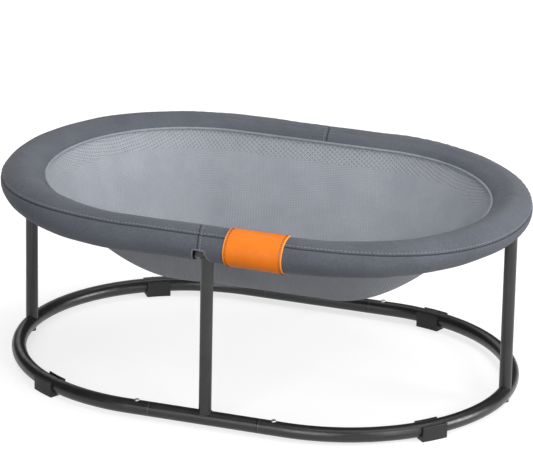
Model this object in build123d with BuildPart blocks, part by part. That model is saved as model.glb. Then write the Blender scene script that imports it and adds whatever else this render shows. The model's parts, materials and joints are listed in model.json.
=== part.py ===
"""Raised oval hammock bed for a cat or small dog.

Two stadium-shaped rings of steel tube stand one above the other. Each ring is two U-bends and two straight
tubes whose swaged ends plug into the bends and lock with spring buttons. Two legs are welded to the straight
tubes and two are bolted to the bends. A padded sleeve surrounds the top ring and carries the mesh hammock.

Frame: X along the bed, Y across it, Z up, origin on the floor under the centre. Sizes in millimetres.
"""

from build123d import *
import math
import os

os.makedirs("parts", exist_ok=True)

# Rings
bend_radius = 186.0  # tube centreline of the end bends, half the ring's width
half_straight = 88.0  # from the ring's middle to where a bend starts
ring_rise = 186.5  # from the base tube's centreline to the top tube's
ring_tube_d = 16.0
tube_wall = 1.2

# Straight tubes and their plug ends
tee_half = 60.0  # from the leg to the seam with the bend
seam_gap = 0.2
plug_length = 28.0
plug_clearance = 0.15
swage_length = 3.0

# Legs
leg_tube_d = 13.5
weld_gap = 0.05

# Spring buttons
button_from_seam = 16.5
button_d = 5.6
button_proud = 1.6
button_clearance = 0.15
button_flange_d = 7.6
button_flange_thick = 1.2
leaf_thick = 0.7
leaf_width = 5.0
leaf_length = 20.0
leaf_clearance = 0.2

# Leg bolts and inserts
bolt_d = 5.0
bolt_clearance = 0.15
bolt_head_d = 9.0
bolt_head_thick = 2.4
bolt_socket_af = 3.0
bolt_socket_depth = 1.4
insert_length = 13.0
insert_clearance = 0.1
insert_setback = 0.5

# Saddle feet
foot_sole = 3.0
foot_wall = 2.35
foot_wall_rise = 6.0  # side walls above the tube's centreline
foot_clearance = 0.15
foot_length = 28.0
foot_corner = 1.2
# Angle of each foot round its bend, from the bed's long axis
foot_angles = {"left_front": 57.5, "left_back": 58.5, "right_front": 41.0, "right_back": 75.0}

# Padded sleeve
sleeve_outer_reach = 17.5  # outwards from the tube's centreline
sleeve_inner_reach = 28.0  # inwards from it
sleeve_height = 37.0
sleeve_lift = 6.5  # the padding sits high on the tube
skin_thick = 1.2
skin_gap = 0.3
foam_bore_gap = 0.4
pocket_gap = 0.6
notch_half = 12.5  # leg opening, each way along the ring
notch_inside = 9.0  # how far it reaches inwards of the leg
notch_rise = 7.0  # its top edge, above the tube's centreline

# Hammock, piping and label band
hammock_thick = 1.0
hammock_sag = 108.0
hammock_rim_rise = 3.0  # above the middle of the sleeve
rim_gap = 0.3
sag_power = 2.0
piping_d = 3.0
band_start = 23.0
band_length = 64.0
band_thick = 0.8
band_gap = 0.05
band_inner_edge = 12.0  # how far the band reaches inwards over the ring

# Worked out from the sizes above
tube_r = ring_tube_d / 2
bore_r = tube_r - tube_wall
plug_r = bore_r - plug_clearance
plug_bore_r = plug_r - tube_wall
leg_r = leg_tube_d / 2
leg_bore_r = leg_r - tube_wall
ring_half_length = half_straight + bend_radius
base_z = foot_sole + tube_r
top_z = base_z + ring_rise
sleeve_z = top_z + sleeve_lift
button_x = tee_half + button_from_seam
button_hole_r = button_d / 2 + button_clearance
bolt_hole_r = bolt_d / 2 + bolt_clearance

SIDES_X = {"left": -1, "right": 1}
SIDES_Y = {"front": -1, "back": 1}
# Each ring's height, and the side its bolts' heads sit on: under the base ring, on top of the top one
LEVELS = {"base": (base_z, -1), "top": (top_z, 1)}


def save(builder: BuildPart, name: str) -> None:
    """Label a finished piece and write its STEP file."""
    builder.part.label = name
    export_step(builder.part, f"parts/{name}.step")


def half_ring_line(side: int, start_x: float, height: float) -> None:
    """Add the centreline of one end of a ring to the current BuildLine, front end first."""
    front_start = (side * start_x, -bend_radius, height)
    front_bend = (side * half_straight, -bend_radius, height)
    end = (side * ring_half_length, 0, height)
    back_bend = (side * half_straight, bend_radius, height)
    back_start = (side * start_x, bend_radius, height)
    Line(front_start, front_bend)
    ThreePointArc(front_bend, end, back_bend)
    Line(back_bend, back_start)


def half_ring_plane(side: int, start_x: float, height: float) -> Plane:
    """Return the section plane at a half ring's front end; its local x points into the ring."""
    origin = (side * start_x, -bend_radius, height)
    return Plane(origin=origin, x_dir=(0, 1, 0), z_dir=(side, 0, 0))


# ---------------------------------------------------------------------------
# Frame tubes
# ---------------------------------------------------------------------------

def make_arc_tube(name: str, side: int, height: float) -> None:
    """U-bend of one ring, with two button holes and a bolt hole for the end leg."""
    start_x = tee_half + seam_gap
    with BuildPart() as arc:
        with BuildLine():
            half_ring_line(side, start_x, height)
        with BuildSketch(half_ring_plane(side, start_x, height)):
            Circle(tube_r)
            Circle(bore_r, mode=Mode.SUBTRACT)
        sweep()
        with BuildSketch(Plane.XY.offset(height)):
            with Locations((side * button_x, -bend_radius), (side * button_x, bend_radius)):
                Circle(button_hole_r)
        extrude(amount=ring_tube_d, mode=Mode.SUBTRACT)
        with BuildSketch(Plane.XY.offset(height)):
            with Locations((side * ring_half_length, 0)):
                Circle(bolt_hole_r)
        extrude(amount=ring_tube_d, both=True, mode=Mode.SUBTRACT)
    save(arc, name)


def make_straight_tube(name: str, row: int, height: float) -> None:
    """Straight tube of one ring: full size in the middle, swaged to a plug at both ends."""
    plug_end = tee_half + plug_length
    swage_start = tee_half - swage_length
    with BuildPart() as tube:
        with BuildSketch(Plane(origin=(0, row * bend_radius, height), x_dir=(1, 0, 0), z_dir=(0, -1, 0))):
            with BuildLine():
                Polyline(
                    (0, tube_r),
                    (tee_half, tube_r),
                    (tee_half, plug_r),
                    (plug_end, plug_r),
                    (plug_end, plug_bore_r),
                    (tee_half - tube_wall, plug_bore_r),
                    (swage_start - tube_wall, bore_r),
                    (0, bore_r),
                    close=True,
                )
            make_face()
            mirror(about=Plane.YZ)
        revolve(axis=Axis((0, row * bend_radius, height), (1, 0, 0)))
        with BuildSketch(Plane.XY.offset(height)):
            with Locations((-button_x, row * bend_radius), (button_x, row * bend_radius)):
                Circle(button_hole_r)
        extrude(amount=ring_tube_d, mode=Mode.SUBTRACT)
    save(tube, name)


def make_welded_leg(name: str, row: int) -> None:
    """Upright tube between the straight tubes, both ends coped to sit on them."""
    with BuildPart() as leg:
        with BuildSketch(Plane.XY.offset(base_z)):
            with Locations((0, row * bend_radius)):
                Circle(leg_r)
                Circle(leg_bore_r, mode=Mode.SUBTRACT)
        extrude(amount=ring_rise)
        for height in (base_z, top_z):
            with BuildSketch(Plane.YZ):
                with Locations((row * bend_radius, height)):
                    Circle(tube_r + weld_gap)
            extrude(amount=ring_tube_d, both=True, mode=Mode.SUBTRACT)
    save(leg, name)


def make_end_leg(name: str, side: int) -> None:
    """Upright tube between the two U-bends, both ends coped to their curve."""
    with BuildPart() as leg:
        with BuildSketch(Plane.XY.offset(base_z)):
            with Locations((side * ring_half_length, 0)):
                Circle(leg_r)
                Circle(leg_bore_r, mode=Mode.SUBTRACT)
        extrude(amount=ring_rise)
        with Locations((side * half_straight, 0, base_z), (side * half_straight, 0, top_z)):
            Torus(bend_radius, tube_r + weld_gap, mode=Mode.SUBTRACT)
    save(leg, name)


# ---------------------------------------------------------------------------
# Fasteners
# ---------------------------------------------------------------------------

flange_top = math.sqrt(plug_bore_r**2 - (button_flange_d / 2) ** 2) - leaf_clearance
leaf_top = flange_top - button_flange_thick - leaf_clearance
leaf_bottom = -math.sqrt(plug_bore_r**2 - (leaf_width / 2) ** 2) + leaf_clearance


def make_button(name: str, side: int, row: int, height: float) -> None:
    """Spring button: a domed stud facing up, with a flange that stops it inside the plug."""
    centre = (side * button_x, row * bend_radius)
    with BuildPart() as button:
        with BuildSketch(Plane.XY.offset(height + flange_top - button_flange_thick)):
            with Locations(centre):
                Circle(button_flange_d / 2)
        extrude(amount=button_flange_thick)
        stud_length = tube_r + button_proud - flange_top
        with BuildSketch(Plane.XY.offset(height + flange_top)):
            with Locations(centre):
                Circle(button_d / 2)
        extrude(amount=stud_length)
        tip = button.edges().filter_by(GeomType.CIRCLE).sort_by(Axis.Z)[-1]
        fillet(tip, radius=min(button_proud, button_d / 2) * 0.8)
    save(button, name)


def make_leaf(name: str, side: int, row: int, height: float) -> None:
    """U-shaped leaf spring in the plug: one arm under the button, one on the bore's far wall."""
    middle = height + (leaf_top + leaf_bottom) / 2
    open_end = button_x + button_flange_d / 2
    centre_x = side * (open_end - leaf_length / 2)
    tall = leaf_top - leaf_bottom
    with BuildPart() as leaf:
        centre = (centre_x, row * bend_radius, middle)
        with BuildSketch(Plane(origin=centre, x_dir=(1, 0, 0), z_dir=(0, -1, 0))):
            SlotOverall(leaf_length, tall)
            SlotOverall(leaf_length - 2 * leaf_thick, tall - 2 * leaf_thick, mode=Mode.SUBTRACT)
            with Locations((side * leaf_length / 2, 0)):
                Rectangle(tall, tall, mode=Mode.SUBTRACT)
        extrude(amount=leaf_width / 2, both=True)
    save(leaf, name)


def make_leg_bolt(name: str, side: int, height: float, head_side: int) -> None:
    """Bolt through a U-bend into an end leg, its flat head against the far side of the bend."""
    centre = (side * ring_half_length, 0)
    seat = height + head_side * tube_r
    with BuildPart() as bolt:
        with BuildSketch(Plane.XY.offset(seat)):
            with Locations(centre):
                Circle(bolt_head_d / 2)
        extrude(amount=head_side * bolt_head_thick)
        with BuildSketch(Plane.XY.offset(seat)):
            with Locations(centre):
                Circle(bolt_d / 2)
        extrude(amount=-head_side * (ring_tube_d + insert_setback + insert_length))
        with BuildSketch(Plane.XY.offset(seat + head_side * bolt_head_thick)):
            with Locations(centre):
                RegularPolygon(bolt_socket_af / 2, 6, major_radius=False)
        extrude(amount=-head_side * bolt_socket_depth, mode=Mode.SUBTRACT)
    save(bolt, name)


def make_leg_insert(name: str, side: int, height: float, head_side: int) -> None:
    """Plug pressed into an end leg, bored for the leg bolt."""
    start = height - head_side * (tube_r + insert_setback)
    with BuildPart() as insert:
        with BuildSketch(Plane.XY.offset(start)):
            with Locations((side * ring_half_length, 0)):
                Circle(leg_bore_r - insert_clearance)
                Circle(bolt_hole_r, mode=Mode.SUBTRACT)
        extrude(amount=-head_side * insert_length)
    save(insert, name)


# ---------------------------------------------------------------------------
# Feet
# ---------------------------------------------------------------------------

def make_foot(name: str, side: int, row: int, angle_from_axis: float) -> None:
    """Open-topped saddle that grips the base tube and follows the bend's curve."""
    half_width = tube_r + foot_clearance + foot_wall
    sweep_angle = math.degrees(foot_length / bend_radius)
    middle = math.degrees(math.atan2(row * math.sin(math.radians(angle_from_axis)),
                                     side * math.cos(math.radians(angle_from_axis))))
    start = math.radians(middle - sweep_angle / 2)
    centre = (side * half_straight, 0, 0)
    section = Plane(origin=centre, x_dir=(math.cos(start), math.sin(start), 0),
                    z_dir=(math.sin(start), -math.cos(start), 0))
    with BuildPart() as foot:
        with BuildSketch(section) as profile:
            with Locations((bend_radius, (base_z + foot_wall_rise) / 2)):
                Rectangle(2 * half_width, base_z + foot_wall_rise)
            fillet(profile.vertices(), radius=foot_corner)
            with Locations((bend_radius, base_z)):
                Circle(tube_r + foot_clearance, mode=Mode.SUBTRACT)
                Rectangle(2 * (tube_r + foot_clearance), 2 * tube_r, mode=Mode.SUBTRACT,
                          align=(Align.CENTER, Align.MIN))
        revolve(axis=Axis(centre, (0, 0, 1)), revolution_arc=sweep_angle)
    save(foot, name)


# ---------------------------------------------------------------------------
# Padded sleeve
# ---------------------------------------------------------------------------

sleeve_half_width = (sleeve_outer_reach + sleeve_inner_reach) / 2
sleeve_inset = (sleeve_inner_reach - sleeve_outer_reach) / 2  # section centre, inwards of the tube


def leg_notches(side: int, margin: float) -> Part:
    """Return the openings for the front, back and end legs of one half of the sleeve."""
    notch_top = top_z + notch_rise + margin
    reach = notch_inside + margin + sleeve_half_width * 2
    half = notch_half + margin
    shift = reach / 2 - notch_inside - margin
    with BuildPart() as notches:
        with BuildSketch(Plane.XY.offset(notch_top)):
            with Locations((0, bend_radius + shift), (0, -bend_radius - shift)):
                Rectangle(2 * half, reach)
            with Locations((side * (ring_half_length + shift), 0)):
                Rectangle(reach, 2 * half)
        extrude(amount=-sleeve_height)
    return notches.part


def make_foam(name: str, side: int) -> None:
    """Foam padding round half of the top ring, cut for the legs, buttons and bolt head."""
    foam_half_width = sleeve_half_width - skin_thick - skin_gap
    foam_half_height = sleeve_height / 2 - skin_thick - skin_gap
    notches = leg_notches(side, 0)
    with BuildPart() as foam:
        with BuildLine():
            half_ring_line(side, 0, sleeve_z)
        with BuildSketch(half_ring_plane(side, 0, sleeve_z)):
            with Locations((sleeve_inset, 0)):
                Ellipse(foam_half_width, foam_half_height)
            with Locations((0, -side * sleeve_lift)):
                Circle(tube_r + foam_bore_gap, mode=Mode.SUBTRACT)
        sweep()
        add(notches, mode=Mode.SUBTRACT)
        with BuildSketch(Plane.XY.offset(top_z)):
            with Locations((side * button_x, -bend_radius), (side * button_x, bend_radius)):
                Circle(button_d / 2 + pocket_gap)
        extrude(amount=tube_r + button_proud + pocket_gap, mode=Mode.SUBTRACT)
        with BuildSketch(Plane.XY.offset(top_z)):
            with Locations((side * ring_half_length, 0)):
                Circle(bolt_head_d / 2 + pocket_gap)
        extrude(amount=tube_r + bolt_head_thick + pocket_gap, mode=Mode.SUBTRACT)
        with BuildSketch(Plane.XY.offset(top_z)):
            with Locations((0, -bend_radius), (0, bend_radius), (side * ring_half_length, 0)):
                Circle(leg_r + foam_bore_gap)
        extrude(amount=-sleeve_height, mode=Mode.SUBTRACT)
    save(foam, name)


def make_sleeve(name: str, side: int) -> None:
    """Fabric skin over half of the foam."""
    notches = leg_notches(side, skin_gap)
    with BuildPart() as sleeve:
        with BuildLine():
            half_ring_line(side, 0, sleeve_z)
        with BuildSketch(half_ring_plane(side, 0, sleeve_z)):
            with Locations((sleeve_inset, 0)):
                Ellipse(sleeve_half_width, sleeve_height / 2)
                Ellipse(sleeve_half_width - skin_thick, sleeve_height / 2 - skin_thick,
                        mode=Mode.SUBTRACT)
        sweep()
        add(notches, mode=Mode.SUBTRACT)
    save(sleeve, name)


# ---------------------------------------------------------------------------
# Hammock, piping and label band
# ---------------------------------------------------------------------------

rim_radius = bend_radius - sleeve_inner_reach - rim_gap
rim_z = sleeve_z + hammock_rim_rise


def sag_curve(radius: float, drop: float) -> list[tuple[float, float]]:
    """Points from the middle to the rim of a bowl that rises as distance to the power sag_power."""
    steps = 8
    return [(radius * i / steps, rim_z - drop * (1 - (i / steps) ** sag_power)) for i in range(steps + 1)]


def make_hammock() -> None:
    """Stadium-shaped mesh bowl: a straight trough with a half bowl at each end."""
    below = sag_curve(rim_radius, hammock_sag)
    above = sag_curve(rim_radius - hammock_thick, hammock_sag - hammock_thick)
    with BuildPart() as hammock:
        with BuildSketch(Plane.YZ.offset(-half_straight)) as section:
            with BuildLine():
                Spline(*below)
                Line(below[-1], above[-1])
                Spline(*above)
                Line(above[0], below[0])
            make_face()
        extrude(amount=2 * half_straight)
        mirror(about=Plane.XZ)
        for side in (-1, 1):
            with BuildSketch(Plane.YZ.offset(side * half_straight)):
                add(section.sketch_local)
            revolve(axis=Axis((side * half_straight, 0, 0), (0, 0, -side)), revolution_arc=180)
    save(hammock, "hammock")


def make_piping() -> None:
    """Round trim that covers the seam between sleeve and hammock."""
    rise = hammock_rim_rise + piping_d / 2 + skin_gap
    surface = sleeve_half_width * math.sqrt(1 - (rise / (sleeve_height / 2)) ** 2)
    inset = sleeve_inset + surface + piping_d / 2 + skin_gap
    radius = bend_radius - inset
    height = sleeve_z + rise
    with BuildPart() as piping:
        with BuildLine():
            Line((0, -radius, height), (half_straight, -radius, height))
            ThreePointArc((half_straight, -radius, height), (half_straight + radius, 0, height),
                          (half_straight, radius, height))
            Line((half_straight, radius, height), (0, radius, height))
        with BuildSketch(Plane(origin=(0, -radius, height), z_dir=(1, 0, 0))):
            Circle(piping_d / 2)
        sweep()
        mirror(about=Plane.YZ)
    save(piping, "piping")


def make_label_band() -> None:
    """Plain band wrapped over the front of the sleeve and sewn along both edges."""
    inside = band_gap
    outside = band_gap + band_thick
    with BuildPart() as band:
        with BuildSketch(Plane(origin=(band_start, -bend_radius, sleeve_z), x_dir=(0, 1, 0), z_dir=(1, 0, 0))):
            with Locations((sleeve_inset, 0)):
                Ellipse(sleeve_half_width + outside, sleeve_height / 2 + outside)
                Ellipse(sleeve_half_width + inside, sleeve_height / 2 + inside, mode=Mode.SUBTRACT)
            with Locations((band_inner_edge, 0)):
                Rectangle(sleeve_half_width * 2, sleeve_height * 2, mode=Mode.SUBTRACT,
                          align=(Align.MIN, Align.CENTER))
        extrude(amount=band_length)
    save(band, "label_band")


# ---------------------------------------------------------------------------
# The whole bed
# ---------------------------------------------------------------------------

for level, (ring_z, head_side) in LEVELS.items():
    for side_name, side in SIDES_X.items():
        make_arc_tube(f"{level}_arc_{side_name}", side, ring_z)
        make_leg_bolt(f"{level}_bolt_{side_name}", side, ring_z, head_side)
        make_leg_insert(f"{level}_insert_{side_name}", side, ring_z, head_side)
    for row_name, row in SIDES_Y.items():
        make_straight_tube(f"{level}_tube_{row_name}", row, ring_z)
        for side_name, side in SIDES_X.items():
            place = f"{level}_{row_name}_{side_name}"
            make_button(f"button_{place}", side, row, ring_z)
            make_leaf(f"leaf_spring_{place}", side, row, ring_z)

for row_name, row in SIDES_Y.items():
    make_welded_leg(f"leg_{row_name}", row)

for side_name, side in SIDES_X.items():
    make_end_leg(f"leg_{side_name}", side)
    make_foam(f"foam_{side_name}", side)
    make_sleeve(f"sleeve_{side_name}", side)
    for row_name, row in SIDES_Y.items():
        corner = f"{side_name}_{row_name}"
        make_foot(f"foot_{corner}", side, row, foot_angles[corner])

make_hammock()
make_piping()
make_label_band()
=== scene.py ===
"""Raised hammock pet bed: padded sleeve, mesh hammock, stitched label band and powder-coated frame.

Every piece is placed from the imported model's own boxes, in metres, with X along the bed and Z up.
"""

import json
import logging
import math
from dataclasses import dataclass, field
from enum import Enum

import bmesh
import bpy
import numpy as np
from mathutils import Matrix, Vector


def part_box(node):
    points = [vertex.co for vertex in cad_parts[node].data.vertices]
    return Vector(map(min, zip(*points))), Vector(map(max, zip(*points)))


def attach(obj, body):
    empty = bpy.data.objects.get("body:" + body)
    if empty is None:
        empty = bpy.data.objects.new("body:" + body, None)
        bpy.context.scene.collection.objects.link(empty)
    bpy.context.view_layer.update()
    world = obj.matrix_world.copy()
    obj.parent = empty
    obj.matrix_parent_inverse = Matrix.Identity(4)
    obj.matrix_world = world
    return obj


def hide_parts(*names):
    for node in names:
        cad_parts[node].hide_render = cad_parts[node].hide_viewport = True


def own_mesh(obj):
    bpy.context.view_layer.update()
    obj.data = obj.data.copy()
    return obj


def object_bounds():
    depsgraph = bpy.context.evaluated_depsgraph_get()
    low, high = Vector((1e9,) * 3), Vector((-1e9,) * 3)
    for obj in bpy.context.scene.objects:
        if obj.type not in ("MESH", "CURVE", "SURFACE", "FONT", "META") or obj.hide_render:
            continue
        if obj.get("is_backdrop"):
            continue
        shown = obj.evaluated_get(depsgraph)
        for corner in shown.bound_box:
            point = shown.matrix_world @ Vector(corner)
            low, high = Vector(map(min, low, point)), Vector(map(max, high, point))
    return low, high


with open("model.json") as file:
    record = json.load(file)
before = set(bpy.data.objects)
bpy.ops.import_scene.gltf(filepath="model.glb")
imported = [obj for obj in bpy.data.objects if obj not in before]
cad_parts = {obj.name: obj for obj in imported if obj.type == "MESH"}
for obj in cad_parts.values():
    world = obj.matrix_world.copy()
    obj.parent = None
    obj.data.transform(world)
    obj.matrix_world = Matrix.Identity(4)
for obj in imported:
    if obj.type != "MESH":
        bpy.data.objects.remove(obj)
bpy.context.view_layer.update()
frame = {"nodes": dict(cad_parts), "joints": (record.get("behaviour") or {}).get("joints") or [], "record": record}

LOG = logging.getLogger("bed")
Array = np.ndarray
Socket = bpy.types.NodeSocket
MM = 0.001


# ---------------------------------------------------------------------------
# Node sheets: short ways to write a material
# ---------------------------------------------------------------------------


class NodeSheet:
    """Adds and links the nodes of one material or shader group."""

    def __init__(self, tree: bpy.types.NodeTree) -> None:
        """Start on an emptied node tree."""
        self.tree = tree
        tree.nodes.clear()

    def node(self, kind: str, **settings: object) -> bpy.types.Node:
        """Add a node and set its properties.

        Args:
            kind: the node's type name.
            settings: attributes to set on the node.

        Returns:
            The new node.
        """
        made = self.tree.nodes.new(kind)
        for name, value in settings.items():
            setattr(made, name, value)
        return made

    def feed(self, socket: Socket, value: object) -> None:
        """Link a socket into an input, or set the input to a number, colour or vector."""
        if isinstance(value, bpy.types.NodeSocket):
            self.tree.links.new(value, socket)
        else:
            socket.default_value = value

    def math(self, operation: str, first: object, second: object = 0.0, clamp: bool = False) -> Socket:
        """Add a Math node.

        Args:
            operation: the Math node's operation.
            first: first number or socket.
            second: second number or socket.
            clamp: whether the result is held between 0 and 1.

        Returns:
            The result's socket.
        """
        made = self.node("ShaderNodeMath", operation=operation, use_clamp=clamp)
        self.feed(made.inputs[0], first)
        self.feed(made.inputs[1], second)
        return made.outputs[0]

    def blend(self, share: object, first: object, second: object) -> Socket:
        """Mix two colours.

        Args:
            share: how much of the second colour, from 0 to 1.
            first: first colour.
            second: second colour.

        Returns:
            The mixed colour's socket.
        """
        made = self.node("ShaderNodeMix", data_type="RGBA")
        self.feed(made.inputs[0], share)
        self.feed(made.inputs[6], first)
        self.feed(made.inputs[7], second)
        return made.outputs[2]

    def ramp(self, value: Socket, low: float, high: float, to_low: float = 0.0, to_high: float = 1.0) -> Socket:
        """Stretch a value from one range to another, held at its ends.

        Args:
            value: the value to stretch.
            low: where the first range starts.
            high: where the first range ends.
            to_low: result at low.
            to_high: result at high.

        Returns:
            The stretched value's socket.
        """
        made = self.node("ShaderNodeMapRange", interpolation_type="SMOOTHSTEP")
        self.feed(made.inputs["Value"], value)
        for name, number in (("From Min", low), ("From Max", high), ("To Min", to_low), ("To Max", to_high)):
            made.inputs[name].default_value = number
        return made.outputs["Result"]

    def group(self, name: str, **values: object) -> bpy.types.Node:
        """Place a shared shader group.

        Args:
            name: the group's name.
            values: what goes into its inputs, with spaces written as underscores.

        Returns:
            The group's node.
        """
        made = self.node("ShaderNodeGroup")
        made.node_tree = bpy.data.node_groups[name]
        for key, value in values.items():
            self.feed(made.inputs[key.replace("_", " ")], value)
        return made

    def bump(self, height: object, depth: float, under: Socket | None = None) -> Socket:
        """Turn a height into a normal.

        Args:
            height: the height's socket.
            depth: its full depth in metres.
            under: a normal that this one is laid over.

        Returns:
            The normal's socket.
        """
        made = self.node("ShaderNodeBump")
        made.inputs["Strength"].default_value = 1.0
        made.inputs["Distance"].default_value = depth
        self.feed(made.inputs["Height"], height)
        if under is not None:
            self.feed(made.inputs["Normal"], under)
        return made.outputs["Normal"]


def new_group(name: str, inputs: dict[str, tuple[str, object]], outputs: dict[str, str]) -> NodeSheet:
    """Start a shared shader group.

    Args:
        name: the group's name.
        inputs: each input's name, socket type and starting value.
        outputs: each output's name and socket type.

    Returns:
        The sheet, holding the group's input and output nodes.
    """
    tree = bpy.data.node_groups.new(name, "ShaderNodeTree")
    sheet = NodeSheet(tree)
    for label, (kind, value) in inputs.items():
        made = tree.interface.new_socket(name=label, in_out="INPUT", socket_type=kind)
        if value is not None:
            made.default_value = value
    for label, kind in outputs.items():
        tree.interface.new_socket(name=label, in_out="OUTPUT", socket_type=kind)
    sheet.node("NodeGroupInput", name="in")
    sheet.node("NodeGroupOutput", name="out")
    return sheet


class SharedEffects:
    """Shader groups that several finishes use."""

    def build(self) -> None:
        """Make every group once."""
        self._mottle()
        self._grain()
        self._plain_weave()

    def _mottle(self) -> None:
        """Soft uneven patches: two sizes of noise added together, centred on a half."""
        sheet = new_group(
            "mottle",
            {"Vector": ("NodeSocketVector", None), "Size": ("NodeSocketFloat", 0.05)},
            {"Value": "NodeSocketFloat"},
        )
        given = sheet.tree.nodes["in"]
        frequency = sheet.math("DIVIDE", 1.0, given.outputs["Size"])
        noise = sheet.node("ShaderNodeTexNoise", noise_dimensions="3D")
        sheet.feed(noise.inputs["Vector"], given.outputs["Vector"])
        sheet.feed(noise.inputs["Scale"], frequency)
        noise.inputs["Detail"].default_value = 4.0
        noise.inputs["Roughness"].default_value = 0.62
        value = sheet.ramp(noise.outputs["Fac"], 0.28, 0.72)
        sheet.feed(sheet.tree.nodes["out"].inputs["Value"], value)

    def _grain(self) -> None:
        """Fine surface grain: rounded cells with a little noise on them."""
        sheet = new_group(
            "grain",
            {"Vector": ("NodeSocketVector", None), "Size": ("NodeSocketFloat", 0.001)},
            {"Height": "NodeSocketFloat"},
        )
        given = sheet.tree.nodes["in"]
        frequency = sheet.math("DIVIDE", 1.0, given.outputs["Size"])
        cells = sheet.node("ShaderNodeTexVoronoi", feature="SMOOTH_F1")
        sheet.feed(cells.inputs["Vector"], given.outputs["Vector"])
        sheet.feed(cells.inputs["Scale"], frequency)
        noise = sheet.node("ShaderNodeTexNoise")
        sheet.feed(noise.inputs["Vector"], given.outputs["Vector"])
        sheet.feed(noise.inputs["Scale"], sheet.math("MULTIPLY", frequency, 0.6))
        noise.inputs["Detail"].default_value = 2.0
        rounded = sheet.math("MULTIPLY", cells.outputs["Distance"], 0.6)
        height = sheet.math("ADD", rounded, sheet.math("MULTIPLY", noise.outputs["Fac"], 0.4))
        sheet.feed(sheet.tree.nodes["out"].inputs["Height"], height)

    def _plain_weave(self) -> None:
        """Over-and-under threads: the product of a sine across and a sine along, with uneven yarn."""
        sheet = new_group(
            "plain weave",
            {
                "Vector": ("NodeSocketVector", None),
                "Pitch": ("NodeSocketFloat", 0.001),
                "Uneven": ("NodeSocketFloat", 0.3),
            },
            {"Height": "NodeSocketFloat", "Holes": "NodeSocketFloat"},
        )
        given = sheet.tree.nodes["in"]
        split = sheet.node("ShaderNodeSeparateXYZ")
        sheet.feed(split.inputs[0], given.outputs["Vector"])
        turn = sheet.math("DIVIDE", math.pi, given.outputs["Pitch"])
        across = sheet.math("SINE", sheet.math("MULTIPLY", split.outputs[0], turn))
        along = sheet.math("SINE", sheet.math("MULTIPLY", split.outputs[1], turn))
        product = sheet.math("MULTIPLY", across, along)
        yarn = sheet.node("ShaderNodeTexNoise")
        sheet.feed(yarn.inputs["Vector"], given.outputs["Vector"])
        sheet.feed(yarn.inputs["Scale"], sheet.math("DIVIDE", 0.35, given.outputs["Pitch"]))
        yarn.inputs["Detail"].default_value = 3.0
        uneven = sheet.math("MULTIPLY", yarn.outputs["Fac"], given.outputs["Uneven"])
        base = sheet.math("MULTIPLY", sheet.math("ADD", product, 1.0), 0.5)
        height = sheet.math("ADD", base, uneven)
        gap = sheet.math("MULTIPLY", sheet.math("ABSOLUTE", across), sheet.math("ABSOLUTE", along))
        holes = sheet.ramp(gap, 0.5, 0.85)
        sheet.feed(sheet.tree.nodes["out"].inputs["Height"], height)
        sheet.feed(sheet.tree.nodes["out"].inputs["Holes"], holes)


# ---------------------------------------------------------------------------
# Finishes
# ---------------------------------------------------------------------------

Colour = tuple[float, float, float]


class Coordinates(Enum):
    """Where a finish's pattern gets its place from."""

    OBJECT = "Object"
    UV = "UV"


@dataclass(frozen=True)
class Finish:
    """What every finish has: a name and a colour range."""

    name: str
    dark: Colour
    light: Colour
    coordinates: Coordinates = Coordinates.OBJECT

    def _open(self) -> tuple[bpy.types.Material, NodeSheet, Socket, bpy.types.Node]:
        """Start the material.

        Returns:
            The material, its node sheet, the pattern's coordinates and the surface shader.
        """
        material = bpy.data.materials.new(self.name)
        material.use_nodes = True
        sheet = NodeSheet(material.node_tree)
        place = sheet.node("ShaderNodeTexCoord").outputs[self.coordinates.value]
        shader = sheet.node("ShaderNodeBsdfPrincipled")
        out = sheet.node("ShaderNodeOutputMaterial")
        sheet.tree.links.new(shader.outputs[0], out.inputs["Surface"])
        return material, sheet, place, shader

    def _tone(self, sheet: NodeSheet, share: Socket) -> Socket:
        """Mix the finish's dark and light colours."""
        return sheet.blend(share, (*self.dark, 1), (*self.light, 1))


@dataclass(frozen=True)
class PowderCoat(Finish):
    """Satin black paint with fine orange peel, faint patches of gloss, a dark joint line and a paler strip just
    outside it.
    """

    peel: float = 0.0011
    roughness: float = 0.34
    joint_x: float = 0.06

    def build(self) -> bpy.types.Material:
        """Return the painted steel."""
        material, sheet, place, shader = self._open()
        patches = sheet.group("mottle", Vector=place, Size=0.035).outputs["Value"]
        specks = sheet.group("grain", Vector=place, Size=self.peel).outputs["Height"]
        colour = self._tone(sheet, patches)
        split = sheet.node("ShaderNodeSeparateXYZ")
        sheet.feed(split.inputs[0], place)
        off = sheet.math("SUBTRACT", sheet.math("ABSOLUTE", split.outputs[0]), self.joint_x)
        crack = sheet.ramp(sheet.math("ABSOLUTE", off), 0.0005, 0.0010, 1.0, 0.0)
        # A paler strip of grey just outside the joint line.
        pale_strip = sheet.ramp(sheet.math("ABSOLUTE", sheet.math("SUBTRACT", off, 0.0016)), 0.0003, 0.0009, 0.7, 0.0)
        colour = sheet.blend(pale_strip, colour, (0.055, 0.055, 0.057, 1))
        sheet.feed(shader.inputs["Base Color"], sheet.blend(crack, colour, (0.002, 0.002, 0.002, 1)))
        rub = sheet.group("mottle", Vector=place, Size=0.009).outputs["Value"]
        uneven = sheet.math("ADD", sheet.math("MULTIPLY", rub, 0.12), self.roughness - 0.06)
        sheet.feed(shader.inputs["Roughness"], uneven)
        sheet.feed(shader.inputs["Normal"], sheet.bump(specks, 0.00005))
        shader.inputs["Specular IOR Level"].default_value = 0.5
        return material


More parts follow.
